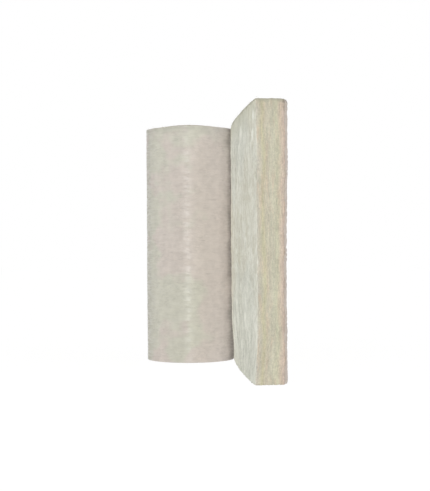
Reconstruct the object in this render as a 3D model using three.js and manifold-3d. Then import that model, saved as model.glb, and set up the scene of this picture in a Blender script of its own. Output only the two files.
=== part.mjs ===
// A roll of faced mineral wool blanket, standing on its end with its last length unrolled.
//
// Millimetres, +Z up. The roll's axis is upright, and the free length leaves the roll's right
// side towards -Y. The blanket is wound with its facing outwards, so the roll shows the facing,
// and the free length shows bare wool on the side that lay against the roll.
// The origin is on the floor, in the middle of the footprint.

import * as THREE from "three";
import { mergeVertices } from "three/addons/utils/BufferGeometryUtils.js";
import Module from "manifold-3d";

// The blanket
const BLANKET_WIDTH = 1200; // the roll's height as it stands
const FREE_WOOL = 133; // thickness of the wool where it has sprung back
const FACING = 1; // thickness of the facing sheet
const GLUE_GAP = 0.3; // between the facing and the wool on either side of it

// The roll
const BORE_RADIUS = 32;
const NIP_RADIUS = 212; // where the free length leaves the roll
const WOUND_PITCH = 40; // growth of the radius with each turn, the wool squeezed flat
const SWELL_START = 170; // degrees round from the nip at which the last turn starts to swell
const TUCK = 12; // degrees that the slit at the nip runs back between the turns

// The free length
const FREE_LENGTH = 1222; // along its bare face, from the nip to the cut end
const FREE_BEND_RADIUS = 9400; // it curls this gently away from the roll
const BARE_CORNER = 9; // rounding of the cut end's upright corner on the bare side

// The blanket's two long edges, which are the roll's two ends
const SOFT_EDGE = 5; // rounding of the wool
const PARTING_DEPTH = 14; // depth of the parting between two turns
const CUTTER_RISE = 1; // height of the parting's cutter over the end

// Facets
const ROUND_STEP = 6; // degrees, along the last turn
const PARTING_STEP = 10; // degrees, along the parting
const FREE_STEPS = 10;
const CORNER_STEPS = 3;
const EDGE_STEPS = 2;
const BORE_STEPS = 32;

const TURN = 360;
const SHEET_ROOM = GLUE_GAP + FACING + GLUE_GAP; // what the facing takes between two turns
const FREE_ANGLE = FREE_LENGTH / FREE_BEND_RADIUS; // radians
const BEND_CENTRE = NIP_RADIUS + SHEET_ROOM + FREE_BEND_RADIUS; // on the X axis

const wasm = await Module();
wasm.setup();

/** The point at a radius, so many degrees on from the nip. The winding runs clockwise. */
function aroundRoll(radius, degrees) {
  const angle = THREE.MathUtils.degToRad(-degrees);
  return new THREE.Vector2(radius * Math.cos(angle), radius * Math.sin(angle));
}

/** Radius of the parting between two turns, which grows by one pitch a turn. */
function partingRadius(degrees) {
  return NIP_RADIUS + (WOUND_PITCH * degrees) / TURN;
}

/** Outer radius of the last turn's wool: squeezed flat at first, sprung back at its end. */
function lastTurnRadius(degrees) {
  const swell = THREE.MathUtils.smoothstep(degrees, SWELL_START, TURN);
  return partingRadius(degrees) + swell * (SHEET_ROOM + FREE_WOOL - WOUND_PITCH);
}

/** A point of the free length, at a share of its length and a depth from its bare face. */
function alongFreeLength(share, depth) {
  const angle = share * FREE_ANGLE;
  const radius = FREE_BEND_RADIUS - depth;
  return new THREE.Vector2(BEND_CENTRE - radius * Math.cos(angle), -radius * Math.sin(angle));
}

/** Even steps of about the given size from one value to another, both ends included. */
function steps(from, to, size) {
  const count = Math.max(1, Math.round(Math.abs(to - from) / size));
  return Array.from({ length: count + 1 }, (_, i) => from + ((to - from) * i) / count);
}

/** The faced side of the blanket from the slit's end to the cut end, moved outwards. */
function facedSide(outwards) {
  const lastTurn = steps(-TUCK, TURN, ROUND_STEP).map((degrees) =>
    aroundRoll(lastTurnRadius(degrees) + outwards, degrees),
  );
  const freeLength = steps(0, 1, 1 / FREE_STEPS).map((share) =>
    alongFreeLength(share, FREE_WOOL + outwards),
  );
  return [...lastTurn, ...freeLength.slice(1)];
}

/** The bare side of the free length, from the cut end's rounded corner back to the nip. */
function bareSide() {
  const centre = alongFreeLength(1 - BARE_CORNER / FREE_LENGTH, BARE_CORNER);
  const corner = steps(0, Math.PI / 2, Math.PI / 2 / CORNER_STEPS).map((turned) => {
    const angle = FREE_ANGLE - Math.PI / 2 - turned;
    return new THREE.Vector2(Math.cos(angle), Math.sin(angle))
      .multiplyScalar(BARE_CORNER)
      .add(centre);
  });
  const cornerShare = 1 - BARE_CORNER / FREE_LENGTH;
  const face = steps(cornerShare, 0, 1 / FREE_STEPS).map((share) => alongFreeLength(share, 0));
  return [...corner, ...face.slice(1)];
}

/** The slit at the nip, from its mouth inwards, on the side of the last turn's start. */
function slitWall() {
  return steps(0, -TUCK, ROUND_STEP)
    .slice(1)
    .map((degrees) => aroundRoll(partingRadius(degrees) + SHEET_ROOM, degrees));
}

/** A closed geometry as a solid that can be cut. */
function toSolid(geometry) {
  const bare = geometry.clone();
  bare.deleteAttribute("normal");
  bare.deleteAttribute("uv");
  const merged = mergeVertices(bare);
  return new wasm.Manifold(
    new wasm.Mesh({
      numProp: 3,
      vertProperties: merged.attributes.position.array,
      triVerts: new Uint32Array(merged.index.array),
    }),
  );
}

/** A solid as a geometry that can be drawn. */
function toGeometry(solid) {
  const mesh = solid.getMesh();
  const geometry = new THREE.BufferGeometry();
  geometry.setAttribute("position", new THREE.BufferAttribute(mesh.vertProperties, 3));
  geometry.setIndex(new THREE.BufferAttribute(mesh.triVerts, 1));
  geometry.computeVertexNormals();
  return geometry;
}

/** The parting between the turns, from the bore to the nip, at the height of one end. */
class PartingLine extends THREE.Curve {
  constructor(height) {
    super();
    this.height = height;
    this.start = (-TURN * (NIP_RADIUS - BORE_RADIUS)) / WOUND_PITCH - PARTING_STEP;
  }

  getPoint(t, target = new THREE.Vector3()) {
    const degrees = THREE.MathUtils.lerp(this.start, 0, t);
    const point = aroundRoll(partingRadius(degrees) + SHEET_ROOM / 2, degrees);
    return target.set(point.x, point.y, this.height);
  }

  /** Stations are spaced by angle, not by length, so that the small turns stay round. */
  getUtoTmapping(u) {
    return u;
  }
}

/** The cutter of the parting on one end: soft shoulders, and a narrow slit below them. */
function partingCutter(height, inwards) {
  const shoulder = SHEET_ROOM / 2 + SOFT_EDGE + CUTTER_RISE;
  const section = new THREE.Shape(
    [
      [-CUTTER_RISE, -shoulder],
      [SOFT_EDGE, -SHEET_ROOM / 2],
      [PARTING_DEPTH, -SHEET_ROOM / 2],
      [PARTING_DEPTH, SHEET_ROOM / 2],
      [SOFT_EDGE, SHEET_ROOM / 2],
      [-CUTTER_RISE, shoulder],
    ].map(([depth, across]) => new THREE.Vector2(inwards * depth, across)),
  );
  const path = new PartingLine(height);
  return new THREE.ExtrudeGeometry(section, {
    extrudePath: path,
    steps: Math.round(-path.start / PARTING_STEP),
    bevelEnabled: false,
  });
}

/** The whole wool: roll, swelling last turn and free length as one body. */
function woolBlanket() {
  const outline = new THREE.Shape([...facedSide(0), ...bareSide(), ...slitWall()]);
  const bore = new THREE.Path();
  bore.absarc(0, 0, BORE_RADIUS, 0, 2 * Math.PI);
  outline.holes.push(bore);
  const body = new THREE.ExtrudeGeometry(outline, {
    depth: BLANKET_WIDTH - 2 * SOFT_EDGE,
    curveSegments: BORE_STEPS,
    bevelThickness: SOFT_EDGE,
    bevelSize: SOFT_EDGE,
    bevelOffset: -SOFT_EDGE,
    bevelSegments: EDGE_STEPS,
  }).translate(0, 0, SOFT_EDGE);
  const topParting = toSolid(partingCutter(BLANKET_WIDTH, 1));
  const bottomParting = toSolid(partingCutter(0, -1));
  return toGeometry(toSolid(body).subtract(topParting).subtract(bottomParting));
}

/** The facing of the last turn and the free length. It starts one step inside the slit. */
function facingSheet() {
  const outside = facedSide(GLUE_GAP + FACING).slice(1);
  const inside = facedSide(GLUE_GAP).slice(1).reverse();
  return new THREE.ExtrudeGeometry(new THREE.Shape([...outside, ...inside]), {
    depth: BLANKET_WIDTH - 2 * SOFT_EDGE,
    bevelEnabled: false,
  }).translate(0, 0, SOFT_EDGE);
}

/** A named piece in its own finish. */
function piece(name, geometry, finish) {
  const mesh = new THREE.Mesh(geometry, new THREE.MeshStandardMaterial(finish));
  mesh.name = name;
  return mesh;
}

const roll = new THREE.Group();
roll.name = "insulation_roll";
roll.add(
  piece("wool_blanket", woolBlanket(), { color: 0xcac5b0, roughness: 0.95, metalness: 0 }),
  piece("facing_sheet", facingSheet(), { color: 0xcbc3b8, roughness: 0.6, metalness: 0 }),
);

// Everything above is drawn about the roll's axis. The origin goes to the footprint's middle.
const middle = new THREE.Box3().setFromObject(roll).getCenter(new THREE.Vector3());
roll.children.forEach((mesh) => mesh.position.set(-middle.x, -middle.y, 0));

export default roll;
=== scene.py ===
"""A roll of faced mineral wool blanket on a pale studio floor.

The blanket is modelled flat, the way it comes off the line: a soft-edged slab of wool, cut into
fine cells and roughened. It is then wound into the roll that the frame's two nodes describe. The
facing is a sheet of its own that is wound with the wool. All sizes are metres and degrees.
"""

from __future__ import annotations

import logging
import math
import sys
from collections.abc import Iterator
from contextlib import contextmanager
from dataclasses import dataclass
from enum import Enum

import bpy
import numpy as np
from mathutils import Matrix, Vector


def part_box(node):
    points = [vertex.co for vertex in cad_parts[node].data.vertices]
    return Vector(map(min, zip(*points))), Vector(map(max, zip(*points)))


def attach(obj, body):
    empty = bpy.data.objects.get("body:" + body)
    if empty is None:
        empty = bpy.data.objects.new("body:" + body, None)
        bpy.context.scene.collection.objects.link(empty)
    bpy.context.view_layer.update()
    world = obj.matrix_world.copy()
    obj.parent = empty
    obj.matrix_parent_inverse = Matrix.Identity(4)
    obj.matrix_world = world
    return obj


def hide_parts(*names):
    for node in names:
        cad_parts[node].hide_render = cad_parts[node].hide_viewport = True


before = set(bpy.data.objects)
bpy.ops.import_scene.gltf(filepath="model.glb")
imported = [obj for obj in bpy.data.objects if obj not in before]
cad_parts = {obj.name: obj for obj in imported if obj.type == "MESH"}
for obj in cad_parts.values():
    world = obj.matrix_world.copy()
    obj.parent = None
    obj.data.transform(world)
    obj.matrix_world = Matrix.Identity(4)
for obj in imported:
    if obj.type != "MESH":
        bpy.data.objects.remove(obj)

LOG = logging.getLogger("insulation_roll")
TURN = 360.0
# How close counts as touching, the least divisor, and how much of a straight edge lies along
# its direction.
HAIR = 1e-6
LEAST = 1e-9
STRAIGHT = 0.999

Array = np.ndarray
Colour = tuple[float, float, float, float]
Triple = tuple[float, float, float]
Pair = tuple[float, float]
# An Ease is the range that a number is eased from, and then the range that it is eased to.
Ease = tuple[float, float, float, float]
Material = bpy.types.Material
Node = bpy.types.Node
NodeTree = bpy.types.NodeTree
Piece = bpy.types.Object
Socket = bpy.types.NodeSocket


class Axis(Enum):
    """The flat blanket's three directions, as columns of its coordinates."""

    ALONG = 0
    DEPTH = 1
    ACROSS = 2


class Parts(Enum):
    """The parts of a mesh that edit mode selects."""

    EDGES = (False, True, False)
    FACES = (False, False, True)


def eased(values: Array, low: float, high: float) -> Array:
    """Values eased from 0 at the low bound to 1 at the high one."""
    share = np.clip((values - low) / (high - low), 0, 1)
    return share * share * (3 - 2 * share)


@dataclass(frozen=True)
class Blanket:
    """The blanket's sizes and its winding, which are the frame's own.

    A place on the flat blanket is its run from the bore end, its depth from the bare side and its
    height across the width. The winding carries that place onto the roll or the free length.
    """

    width: float = 1.2
    free_wool: float = 0.133
    facing: float = 0.001
    glue_gap: float = 0.0003
    bore_radius: float = 0.032
    nip_radius: float = 0.212
    wound_pitch: float = 0.040
    swell_start: float = 170.0
    free_length: float = 1.222
    free_bend_radius: float = 9.4
    inner_end: float = 130.0
    kept_edge: float = 0.012
    kept_share: float = 0.3
    path_step: float = 1.0
    end_bulge: float = 0.004
    end_bulge_power: int = 4
    edge_wander: float = 0.0027
    edge_wave: float = 0.33
    edge_crest: float = 0.325
    edge_drop: float = 0.0035
    edge_fade: float = 0.3
    edge_rise: float = 0.0010
    rise_start: Pair = (0.2, 0.6)
    rise_end: Pair = (0.9, 1.15)
    foot_spread: float = 0.0125
    foot_height: float = 0.20
    top_spread: float = 0.005
    top_height: float = 0.25
    waist: float = 0.003
    faced_waist: float = 0.0075
    faced_waist_span: Pair = (0.54, 0.96)
    faced_foot: float = 0.0025
    faced_draw: float = 0.0008
    spread_start: float = 0.72
    spread_margin: float = 0.03
    nip_swell: float = 0.0085
    nip_swell_start: float = 0.11
    nip_swell_end: Pair = (0.25, 0.8)
    nip_foot: float = 0.35
    nip_foot_span: Pair = (0.04, 0.24)
    end_round: float = 0.018
    end_round_span: Pair = (0.15, 0.02)

    @property
    def cut_end(self) -> float:
        """Run of the cut end."""
        return self.wound_length + self.free_length

    @property
    def sheet_room(self) -> float:
        """What the facing takes between two turns."""
        return self.facing + 2 * self.glue_gap

    @property
    def first_turned(self) -> float:
        """Degrees from the nip back to the blanket's inner end in the bore."""
        turns = (self.nip_radius - self.bore_radius) / self.wound_pitch
        return -TURN * turns + self.inner_end

    def parting_radius(self, turned: Array) -> Array:
        """Radius of the parting between two turns."""
        return self.nip_radius + self.wound_pitch * turned / TURN

    def outer_radius(self, turned: Array) -> Array:
        """Radius of the wool's faced side."""
        grown = self.sheet_room + self.free_wool - self.wound_pitch
        return self.parting_radius(turned) + eased(turned, self.swell_start, TURN) * grown

    def inner_radius(self, turned: Array) -> Array:
        """Radius of the wool's bare side. The first turn lies on the bore."""
        return np.maximum(self.parting_radius(turned - TURN) + self.sheet_room, self.bore_radius)

    def path(self) -> tuple[Array, Array]:
        """The run from the bore end at even steps of winding, up to the nip.

        Returns:
            The turned degrees, and the run at each of them along the middle of the wool.
        """
        turned = np.arange(self.first_turned, TURN + self.path_step, self.path_step)
        turned = np.minimum(turned, TURN)
        middle = (self.outer_radius(turned) + self.inner_radius(turned)) / 2
        steps = np.radians(np.diff(turned)) * (middle[1:] + middle[:-1]) / 2
        return turned, np.concatenate([[0.0], np.cumsum(steps)])

    @property
    def wound_length(self) -> float:
        """Run of the nip, where the free length starts."""
        return float(self.path()[1][-1])

    def run_at(self, turned: float) -> float:
        """The run at so many degrees of winding."""
        degrees, runs = self.path()
        return float(np.interp(turned, degrees, runs))

    def squeezed(self, depth: Array, thickness: Array) -> Array:
        """Depth in the wound wool of a depth in the free wool. Both soft edges keep their size.

        Args:
            depth: depth in wool that is as thick as the free length.
            thickness: the wool's thickness where it lies.

        Returns:
            Depth in wool of that thickness.
        """
        keep = np.minimum(self.kept_edge, thickness * self.kept_share)
        inner = self.free_wool - 2 * self.kept_edge
        middle = keep + (depth - self.kept_edge) / inner * (thickness - 2 * keep)
        near = depth * keep / self.kept_edge
        far = thickness - (self.free_wool - depth) * keep / self.kept_edge
        wound = np.where(depth < self.kept_edge, near, middle)
        wound = np.where(depth > self.free_wool - self.kept_edge, far, wound)
        wound = np.where(depth < 0, depth, wound)
        return np.where(depth > self.free_wool, thickness + depth - self.free_wool, wound)

    def wind(self, flat: Array) -> Array:
        """Flat places carried onto the roll, about the roll's own axis.

        Args:
            flat: rows of run, depth and height.

        Returns:
            Rows of x, y and z.
        """
        run, depth, height = flat.T
        degrees, runs = self.path()
        turned = np.interp(run, runs, degrees)
        depth, height = self.rounded(run, depth, height)
        depth = self.slackened(run, depth, height)
        inner = self.inner_radius(turned)
        thickness = self.outer_radius(turned) - inner
        radius = inner + self.squeezed(depth, thickness)
        angle = -np.radians(turned)
        free = np.maximum(run - runs[-1], 0.0)
        bend = free / self.free_bend_radius
        centre = self.nip_radius + self.sheet_room + self.free_bend_radius
        bend_radius = self.free_bend_radius - depth
        on_roll = free <= 0
        x = np.where(on_roll, radius * np.cos(angle), centre - bend_radius * np.cos(bend))
        y = np.where(on_roll, radius * np.sin(angle), -bend_radius * np.sin(bend))
        return np.column_stack([x, y, self.raised(run, depth, height, thickness)])

    def rounded(self, run: Array, depth: Array, height: Array) -> tuple[Array, Array]:
        """Rounds off the two outer corners towards the cut end.

        Args:
            run: run from the bore end.
            depth: depth from the bare side.
            height: height across the width.

        Returns:
            The new depth and height.
        """
        start, end = self.end_round_span
        size = self.end_round * eased(run, self.cut_end - start, self.cut_end - end) + HAIR
        level = height - self.width / 2
        across = (depth - self.free_wool) / size + 1
        up = (np.abs(level) - self.width / 2) / size + 1
        in_corner = (across > 0) & (up > 0)
        longest = np.maximum(across, up)
        shrink = np.where(in_corner, longest / np.maximum(np.hypot(across, up), LEAST), 1.0)
        depth = np.where(in_corner, self.free_wool + (across * shrink - 1) * size, depth)
        reach = self.width / 2 + (up * shrink - 1) * size
        return depth, np.where(in_corner, self.width / 2 + np.sign(level) * reach, height)

    def slackened(self, run: Array, depth: Array, height: Array) -> Array:
        """Depth on the free length, which spreads at its foot and its top and is slim between.

        Args:
            run: run from the bore end.
            depth: depth in an even blanket.
            height: height across the width.

        Returns:
            The new depth.
        """
        share = np.clip(depth / self.free_wool, 0, 1)
        foot = self.foot_spread * (1 - eased(height, 0.0, self.foot_height))
        top = self.top_spread * eased(height, self.width - self.top_height, self.width)
        bare = foot + top - self.waist
        faced = -self.faced_waist * (1 - eased(height, *self.faced_waist_span))
        faced = faced + self.faced_foot * (1 - eased(height, 0.0, self.top_height))
        faced = faced - self.faced_draw
        past = run - self.wound_length
        near_end = eased(past, self.spread_start, self.free_length - self.spread_margin)
        end_spread = (faced * share - bare * (1 - share)) * near_end
        swell = self.nip_swell * eased(past, 0.0, self.nip_swell_start)
        swell = swell * (1 - eased(past, *self.nip_swell_end))
        lifted = eased(height, *self.nip_foot_span) * (1 + self.nip_foot) - self.nip_foot
        return depth + end_spread - swell * lifted * (1 - share)

    def raised(self, run: Array, depth: Array, height: Array, thickness: Array) -> Array:
        """Height after winding: squeezed turns bulge at the top, and the top edge wanders.

        The lower edge stays flat, because the roll stands on it.

        Args:
            run: run from the bore end.
            depth: depth from the bare side.
            height: height across the width.
            thickness: the wool's thickness where it lies.

        Returns:
            The new height.
        """
        across = np.clip(depth / self.free_wool, 0, 1) * 2 - 1
        squeeze = 1 - thickness / self.free_wool
        bulge = self.end_bulge * (1 - across**2) * squeeze
        since = run - self.run_at(0.0) - self.edge_crest
        wander = self.edge_wander * np.cos(math.tau * since / self.edge_wave) - self.edge_drop
        past = run - self.wound_length
        rise = self.edge_rise * eased(past, *self.rise_start) * (1 - eased(past, *self.rise_end))
        wander = wander * (1 - eased(past, 0.0, self.edge_fade)) + rise
        top = np.clip((height - self.width / 2) / (self.width / 2), 0, 1)
        return np.maximum(height + top**self.end_bulge_power * (bulge + wander), 0.0)

    def axis_place(self) -> Vector:
        """Where the roll's axis stands in the frame, from the facing node's box.

        Returns:
            The axis's foot.
        """
        low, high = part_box("facing_sheet")
        turned = np.arange(0.0, TURN, self.path_step)
        radius = self.outer_radius(turned) + self.glue_gap + self.facing
        angle = -np.radians(turned)
        left = float((radius * np.cos(angle)).min())
        back = float((radius * np.sin(angle)).max())
        return Vector((low[0] - left, high[1] - back, 0.0))


# ---------------------------------------------------------------- modelling by hand


def leave_edit_mode() -> None:
    """Goes back to object mode with nothing selected."""
    if bpy.context.mode != "OBJECT":
        bpy.ops.object.mode_set(mode="OBJECT")
    bpy.ops.object.select_all(action="DESELECT")


def take_up(piece: Piece) -> None:
    """Makes one piece the selected and active one.

    Args:
        piece: the piece.
    """
    leave_edit_mode()
    piece.select_set(True)
    bpy.context.view_layer.objects.active = piece


@contextmanager
def edit_mode(piece: Piece, parts: Parts = Parts.EDGES) -> Iterator[None]:
    """Edit mode for a while.

    Args:
        piece: the piece that is worked on.
        parts: the parts of it that are selected.

    Yields:
        Nothing.
    """
    take_up(piece)
    bpy.context.tool_settings.mesh_select_mode = parts.value
    bpy.ops.object.mode_set(mode="EDIT")
    yield
    bpy.ops.object.mode_set(mode="OBJECT")


def places(piece: Piece) -> Array:
    """The piece's vertices.

    Args:
        piece: the piece.

    Returns:
        A row of three for each vertex.
    """
    found = np.empty(len(piece.data.vertices) * 3)
    piece.data.vertices.foreach_get("co", found)
    return found.reshape(-1, 3)


def put(piece: Piece, rows: Array) -> None:
    """Moves the piece's vertices to new places."""
    piece.data.vertices.foreach_set("co", rows.ravel())
    piece.data.update()


def edge_ends(piece: Piece) -> tuple[Array, Array, Array]:
    """The ends of the piece's edges.

    Args:
        piece: the piece.

    Returns:
        Each edge's pair of vertices, and the places of both.
    """
    pairs = np.empty(len(piece.data.edges) * 2, dtype=np.int32)
    piece.data.edges.foreach_get("vertices", pairs)
    pairs = pairs.reshape(-1, 2)
    rows = places(piece)
    return pairs, rows[pairs[:, 0]], rows[pairs[:, 1]]


def edges_along(piece: Piece, axis: Axis) -> Array:
    """Which edges of a flat piece run along one of its directions.

    Args:
        piece: the flat piece.
        axis: the direction.

    Returns:
        True for each such edge.
    """
    _, first, second = edge_ends(piece)
    span = np.abs(second - first)
    return span[:, axis.value] > STRAIGHT * np.linalg.norm(span, axis=1)


def edges_at(piece: Piece, run: float) -> Array:
    """Which edges of a flat piece lie at one run."""
    _, first, second = edge_ends(piece)
    return (np.abs(first[:, 0] - run) < HAIR) & (np.abs(second[:, 0] - run) < HAIR)


def level_edges(piece: Piece) -> Array:
    """Which edges of a flat piece keep one height."""
    _, first, second = edge_ends(piece)
    return np.abs(first[:, 2] - second[:, 2]) < HAIR


def choose_edges(piece: Piece, chosen: Array) -> None:
    """Selects some of the piece's edges, and nothing else of it.

    Args:
        piece: the piece.
        chosen: true for each edge to select.
    """
    leave_edit_mode()
    pairs, _, _ = edge_ends(piece)
    corners = np.zeros(len(piece.data.vertices), dtype=bool)
    corners[pairs[chosen].ravel()] = True
    piece.data.polygons.foreach_set("select", np.zeros(len(piece.data.polygons), dtype=bool))
    piece.data.edges.foreach_set("select", chosen)
    piece.data.vertices.foreach_set("select", corners)


def divide(piece: Piece, axis: Axis, *parts: int) -> None:
    """Cuts all edges along one direction into even parts, several times over.

    Args:
        piece: a flat piece.
        axis: the direction of the edges that are cut.
        *parts: into how many parts each pass cuts them.
    """
    for count in parts:
        choose_edges(piece, edges_along(piece, axis))
        with edit_mode(piece):
            bpy.ops.mesh.subdivide(number_cuts=count - 1)


def round_edges(piece: Piece, chosen: Array, size: float, segments: int) -> None:
    """Rounds some of the piece's edges.

    Args:
        piece: the piece.
        chosen: true for each edge to round.
        size: how far from the edge the rounding starts.
        segments: into how many faces it goes.
    """
    choose_edges(piece, chosen)
    with edit_mode(piece):
        bpy.ops.mesh.bevel(offset=size, segments=segments, affect="EDGES", clamp_overlap=False)


def cut_rows(piece: Piece, heights: tuple[float, ...]) -> None:
    """Cuts level rows through the piece.

    Args:
        piece: the piece.
        heights: the height of each cut.
    """
    with edit_mode(piece):
        for height in heights:
            bpy.ops.mesh.select_all(action="SELECT")
            bpy.ops.mesh.bisect(plane_co=(0.0, 0.0, height), plane_no=(0.0, 0.0, 1.0))


def open_end(piece: Piece, run: float) -> None:
    """Takes away the faces of the flat piece that close it at one run.

    Args:
        piece: the flat piece.
        run: the run of those faces.
    """
    with edit_mode(piece, Parts.FACES):
        bpy.ops.mesh.select_all(action="DESELECT")
    for face in piece.data.polygons:
        face.select = abs(face.center.x - run) < HAIR
    with edit_mode(piece, Parts.FACES):
        bpy.ops.mesh.delete(type="ONLY_FACE")


def close_openings(piece: Piece) -> None:
    """Fills each open end of the piece with one face.

    Args:
        piece: the piece.
    """
    with edit_mode(piece):
        bpy.ops.mesh.select_all(action="DESELECT")
        bpy.ops.mesh.select_non_manifold(use_wire=False, use_multi_face=False, use_verts=False)
        bpy.ops.mesh.edge_face_add()


def add_slab(name: str, low: Triple, high: Triple) -> Piece:
    """A slab between two corners, with its place in its mesh.

    Args:
        name: the piece's name.
        low: the corner with the least coordinates.
        high: the corner with the greatest.

    Returns:
        The piece.
    """
    leave_edit_mode()
    corners = Vector(low), Vector(high)
    bpy.ops.mesh.primitive_cube_add(size=1.0, location=(corners[0] + corners[1]) / 2)
    slab = bpy.context.object
    slab.scale = corners[1] - corners[0]
    bpy.ops.object.transform_apply(location=True, rotation=True, scale=True)
    return named(slab, name)


def named(piece: Piece, name: str) -> Piece:
    """The piece, with its name and its mesh's name set."""
    piece.name = piece.data.name = name
    return piece


def apply_modifiers(piece: Piece) -> None:
    """Applies the piece's modifiers from first to last.

    Args:
        piece: the piece.
    """
    take_up(piece)
    for modifier in list(piece.modifiers):
        bpy.ops.object.modifier_apply(modifier=modifier.name)


def relieve(piece: Piece, group: NodeTree) -> None:
    """Applies a group of geometry nodes to the piece."""
    piece.modifiers.new("relief", "NODES").node_group = group
    apply_modifiers(piece)


def note(piece: Piece, name: str, values: Array) -> None:
    """Keeps a number for each vertex, for the finishes and the fibres to follow."""
    attribute = piece.data.attributes.new(name, "FLOAT", "POINT")
    attribute.data.foreach_set("value", values)


def note_laid_places(piece: Piece) -> None:
    """Keeps each vertex's place on the flat blanket, for the finishes to follow."""
    attribute = piece.data.attributes.new("laid", "FLOAT_VECTOR", "POINT")
    attribute.data.foreach_set("vector", places(piece).ravel())


# ---------------------------------------------------------------- node trees

# Noise lies about its middle. Its detail is plain or rich, and its roughness may be high.
NOISE_MIDDLE = 0.5
PLAIN = 1.0
RICH = 3.0
ROUGH = 0.6


class Kind(Enum):
    """What a node group's socket carries."""

    GEOMETRY = "NodeSocketGeometry"
    NUMBER = "NodeSocketFloat"
    VECTOR = "NodeSocketVector"


class Wiring:
    """Adds nodes to one tree and feeds their inputs."""

    def __init__(self, tree: NodeTree) -> None:
        """Starts on a tree."""
        self.tree = tree

    def node(self, kind: str, inputs: dict | None = None, **settings: object) -> Node:
        """A new node.

        Args:
            kind: the node's type.
            inputs: what each input takes, by its name or number: a flow or a plain value.
            **settings: the settings that differ from a new node's.

        Returns:
            The node.
        """
        made = self.tree.nodes.new(kind)
        for name, value in settings.items():
            setattr(made, name, value)
        for key, source in (inputs or {}).items():
            if isinstance(source, Flow):
                self.tree.links.new(source.socket, made.inputs[key])
            else:
                made.inputs[key].default_value = source
        return made

    def flow(
        self, kind: str, output: str | int, inputs: dict | None = None, **settings: object
    ) -> Flow:
        """One output of a new node, by its name or number."""
        return Flow(self, self.node(kind, inputs, **settings).outputs[output])

    def math(self, operation: str, *sources: object, clamp: bool = False) -> Flow:
        """The result of a Math node."""
        inputs = dict(enumerate(sources))
        return self.flow("ShaderNodeMath", 0, inputs, operation=operation, use_clamp=clamp)

    def vector(self, operation: str, *sources: object) -> Flow:
        """The vector result of a Vector Math node."""
        inputs = dict(enumerate(sources))
        return self.flow("ShaderNodeVectorMath", 0, inputs, operation=operation)

    def scaled(self, source: object, factor: object) -> Flow:
        """A vector or a colour times a number."""
        inputs = {0: source, "Scale": factor}
        return self.flow("ShaderNodeVectorMath", 0, inputs, operation="SCALE")

    def attribute(self, name: str, output: str = "Fac") -> Flow:
        """One of the piece's attributes, in a material."""
        return self.flow("ShaderNodeAttribute", output, attribute_name=name)

    def bump(self, height: Flow, strength: float, distance: float) -> Flow:
        """A normal that follows a fine height."""
        inputs = {"Strength": strength, "Distance": distance, "Height": height}
        return self.flow("ShaderNodeBump", "Normal", inputs)


@dataclass(frozen=True)
class Flow:
    """What one output of a node gives, to reckon with: a number, a vector or a colour."""

    wiring: Wiring
    socket: Socket

    def __add__(self, other: object) -> Flow:
        """The sum of two numbers."""
        return self.wiring.math("ADD", self, other)

    def __sub__(self, other: object) -> Flow:
        """This number less another."""
        return self.wiring.math("SUBTRACT", self, other)

    def __rsub__(self, other: float) -> Flow:
        """A plain number less this one."""
        return self.wiring.math("SUBTRACT", other, self)

    def __mul__(self, other: object) -> Flow:
        """The product of two numbers."""
        return self.wiring.math("MULTIPLY", self, other)

    def __truediv__(self, other: object) -> Flow:
        """This number over another."""
        return self.wiring.math("DIVIDE", self, other)

    def __pow__(self, power: float) -> Flow:
        """This number to a power."""
        return self.wiring.math("POWER", self, power)

    def __abs__(self) -> Flow:
        """This number without its sign."""
        return self.wiring.math("ABSOLUTE", self)

    def or_more(self, other: object) -> Flow:
        """The greater of two numbers."""
        return self.wiring.math("MAXIMUM", self, other)

    def times_plus(self, factor: float, addend: Flow) -> Flow:
        """This number times a factor, plus an addend."""
        return self.wiring.math("MULTIPLY_ADD", self, factor, addend)

    def parts(self) -> tuple[Flow, ...]:
        """A vector's three numbers."""
        made = self.wiring.node("ShaderNodeSeparateXYZ", {0: self})
        return tuple(Flow(self.wiring, output) for output in made.outputs)

    def stretched(self, size: object) -> Flow:
        """A place over a size, so that what follows it is as long as the size."""
        return self.wiring.vector("DIVIDE", self, size)

    def shifted(self, offset: Triple) -> Flow:
        """A place moved by an offset."""
        return self.wiring.vector("ADD", self, offset)

    def noise(self, scale: float = 1.0, detail: float = 2.0, roughness: float = 0.5) -> Flow:
        """Fractal noise between 0 and 1 at a place."""
        inputs = {"Vector": self, "Scale": scale, "Detail": detail, "Roughness": roughness}
        return self.wiring.flow("ShaderNodeTexNoise", 0, inputs)

    def ranged(
        self, low: float, high: float, to_low: float = 0.0, to_high: float = 1.0
    ) -> Flow:
        """A number eased from one range to another, and held at its ends."""
        inputs = dict(enumerate((self, low, high, to_low, to_high)))
        return self.wiring.flow("ShaderNodeMapRange", 0, inputs, interpolation_type="SMOOTHSTEP")

    def faded(self, level: float) -> Flow:
        """One where this share is zero, and the level where it is one."""
        return self.ranged(0.0, 1.0, 1.0, level)

    def swing(self, height: float) -> Flow:
        """Noise turned into a rise and fall about zero, as high as that either way."""
        return (self - NOISE_MIDDLE) * (2 * height)

    def blended(self, first: object, second: object) -> Flow:
        """The first colour where this share is zero, and the second where it is one."""
        inputs = {0: self, 6: first, 7: second}
        return self.wiring.flow("ShaderNodeMix", 2, inputs, data_type="RGBA")


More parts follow.
